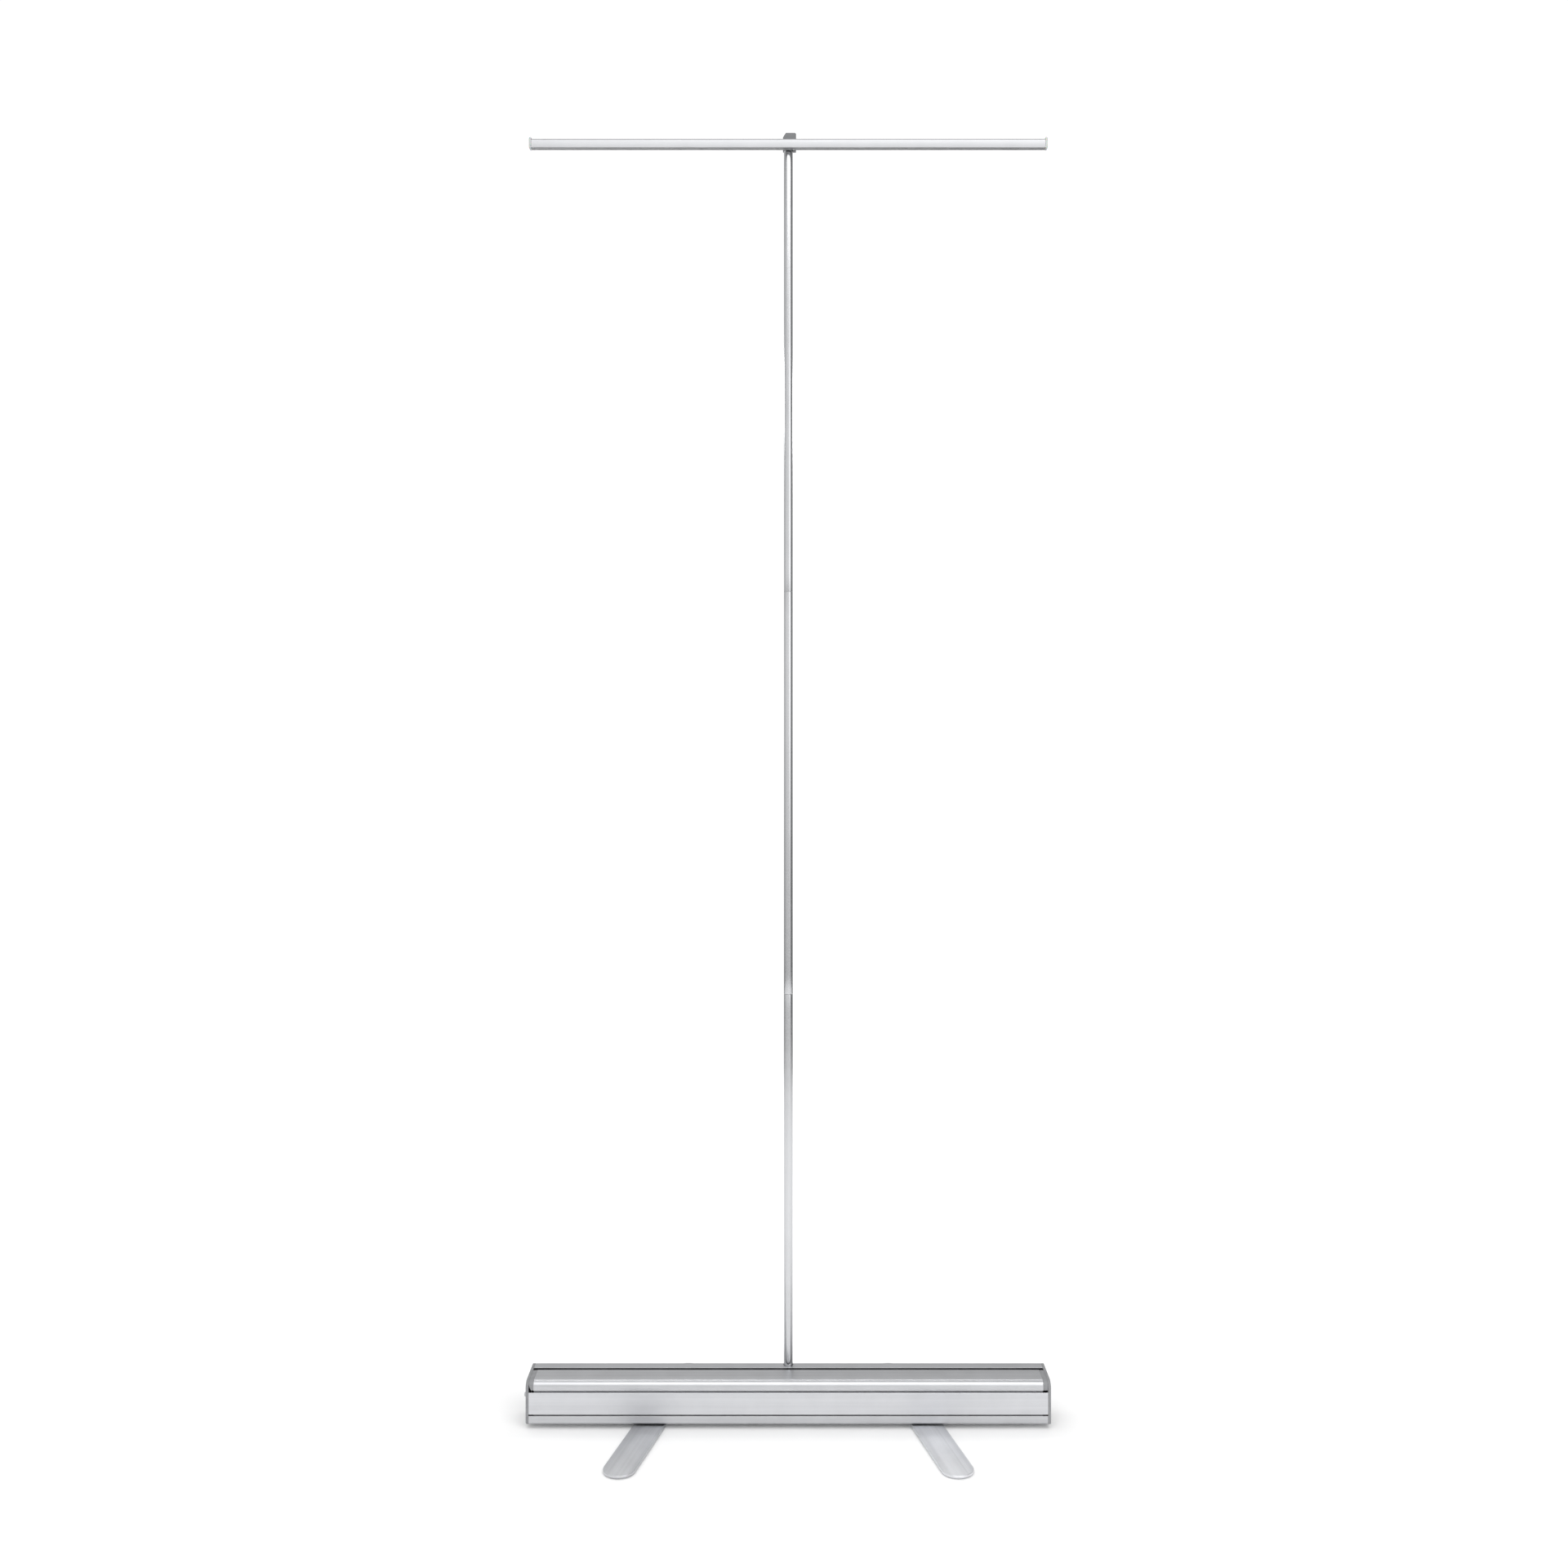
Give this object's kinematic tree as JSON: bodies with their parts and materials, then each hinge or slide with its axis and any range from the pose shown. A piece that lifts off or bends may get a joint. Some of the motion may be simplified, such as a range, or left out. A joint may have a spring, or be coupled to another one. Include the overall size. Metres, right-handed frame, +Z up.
{
  "type": "roll-up banner stand",
  "caption": "Retractable roll-up banner stand without its graphic: aluminium cassette with spring roller, swing-out feet, sectional pole and clamp rail.",
  "frame": {"origin": "on the floor under the middle of the base, midway between the tips of the feet", "axes": "+X along the base to the viewer's right, -Y towards the front panel, +Z up along the pole"},
  "size_m": [0.8706, 0.4066, 2.1441],
  "materials": {
    "satin_aluminium": "satin anodised",
    "zinc_steel": "zinc plated",
    "spring_steel": "oiled",
    "grey_plastic": "fine matt",
    "clear_plastic": "milky translucent",
    "black_plastic": "matt",
    "black_rubber": "matt",
    "white_film": "semi-matt film",
    "elastic_cord": "braided sleeve"
  },
  "bodies": {
    "base": {"cassette_shell": "satin_aluminium", "top_cover": "satin_aluminium", "front_panel": "satin_aluminium", "end_cap_left": "grey_plastic", "end_cap_right": "grey_plastic", "cap_screw_left_1": "zinc_steel", "cap_screw_left_2": "zinc_steel", "cap_screw_left_3": "zinc_steel", "cap_screw_left_4": "zinc_steel", "cap_screw_right_1": "zinc_steel", "cap_screw_right_2": "zinc_steel", "cap_screw_right_3": "zinc_steel", "cap_screw_right_4": "zinc_steel", "foot_washer_left": "black_plastic", "foot_washer_right": "black_plastic", "foot_rivet_left": "zinc_steel", "foot_rivet_right": "zinc_steel", "pole_socket": "grey_plastic", "spindle_holder": "grey_plastic", "bearing_bush": "black_plastic", "spring_shaft": "zinc_steel"},
    "roller": {"roller_tube": "satin_aluminium", "leader_film": "white_film", "roller_plug_left": "grey_plastic", "roller_plug_right": "grey_plastic", "idler_pin": "zinc_steel", "torsion_spring": "spring_steel", "inner_bearing": "black_plastic"},
    "locking_pin": {"locking_pin": "zinc_steel"},
    "foot_left": {"foot_left": "satin_aluminium", "foot_pad_left_front": "black_rubber", "foot_pad_left_rear": "black_rubber"},
    "foot_right": {"foot_right": "satin_aluminium", "foot_pad_right_front": "black_rubber", "foot_pad_right_rear": "black_rubber"},
    "pole_lower": {"pole_lower": "satin_aluminium", "pole_ferrule_lower": "satin_aluminium", "pole_foot_plug": "grey_plastic", "shock_cord": "elastic_cord"},
    "pole_middle": {"pole_middle": "satin_aluminium", "pole_ferrule_upper": "satin_aluminium"},
    "pole_upper": {"pole_upper": "satin_aluminium", "pole_top_plug": "grey_plastic"},
    "rail": {"rail_rear_jaw": "satin_aluminium", "rail_cap_left": "clear_plastic", "rail_cap_right": "clear_plastic", "rail_hanger": "grey_plastic"},
    "rail_front_jaw": {"rail_front_jaw": "satin_aluminium"}
  },
  "joints": [
    {"name": "foot_left_swing", "type": "hinge", "parent": "base", "child": "foot_left", "pos_m": [-0.22, 0, 0.0038], "axis": [0, 0, 1], "range_deg": [-77, 13]},
    {"name": "foot_right_swing", "type": "hinge", "parent": "base", "child": "foot_right", "pos_m": [0.22, 0, 0.0038], "axis": [0, 0, 1], "range_deg": [-13, 77]},
    {"name": "roller_spin", "type": "hinge", "parent": "base", "child": "roller", "pos_m": [0, -0.0089, 0.04275], "axis": [1, 0, 0], "continuous": true, "stiffness_Nm_per_rad": 0.002},
    {"name": "locking_pin_pull", "type": "slide", "parent": "base", "child": "locking_pin", "axis": [-1, 0, 0], "range_m": [0, 0.03]},
    {"name": "pole_lift", "type": "slide", "parent": "base", "child": "pole_lower", "axis": [0, 0, 1], "range_m": [0, 0.09]},
    {"name": "pole_middle_pull", "type": "slide", "parent": "pole_lower", "child": "pole_middle", "axis": [0, 0, 1], "range_m": [0, 0.06], "stiffness_N_per_m": 100, "springref_m": -0.15},
    {"name": "pole_upper_pull", "type": "slide", "parent": "pole_middle", "child": "pole_upper", "axis": [0, 0, 1], "range_m": [0, 0.06], "stiffness_N_per_m": 100, "springref_m": -0.15},
    {"name": "rail_lift", "type": "slide", "parent": "pole_upper", "child": "rail", "axis": [0, 0, 1], "range_m": [0, 0.03]},
    {"name": "rail_jaw_open", "type": "hinge", "parent": "rail", "child": "rail_front_jaw", "pos_m": [0, 0.0087, 2.1267], "axis": [-1, 0, 0], "range_deg": [0, 45]}
  ]
}
